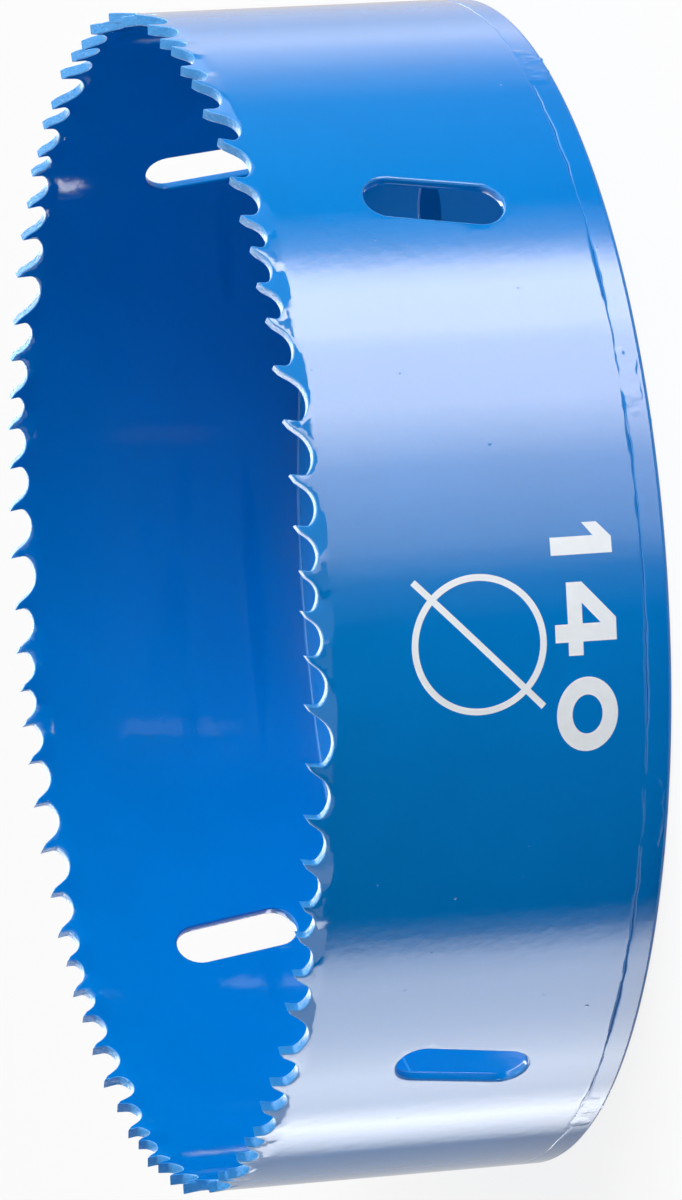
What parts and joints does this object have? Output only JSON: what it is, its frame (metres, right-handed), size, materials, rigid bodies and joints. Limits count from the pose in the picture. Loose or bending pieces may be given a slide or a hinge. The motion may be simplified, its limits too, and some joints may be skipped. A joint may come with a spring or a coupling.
{
  "type": "hole saw",
  "caption": "Wide shallow bi-metal hole saw: a rolled strip ring with set teeth and slanted chip slots, welded to a flat end plate with an arbor thread.",
  "frame": {"origin": "centre of the end plate's back face, which the saw stands on", "axes": "+Z along the saw's axis from the end plate to the teeth; +X and +Y through the middles of neighbouring chip slots"},
  "size_m": [0.1398, 0.1397, 0.0423],
  "materials": {
    "ring_lacquer": "glossy blue lacquer over steel",
    "plate_lacquer": "glossy blue lacquer over steel, slightly uneven at the weld"
  },
  "bodies": {
    "root": {"toothed_ring": "ring_lacquer", "end_plate": "plate_lacquer"}
  },
  "joints": []
}
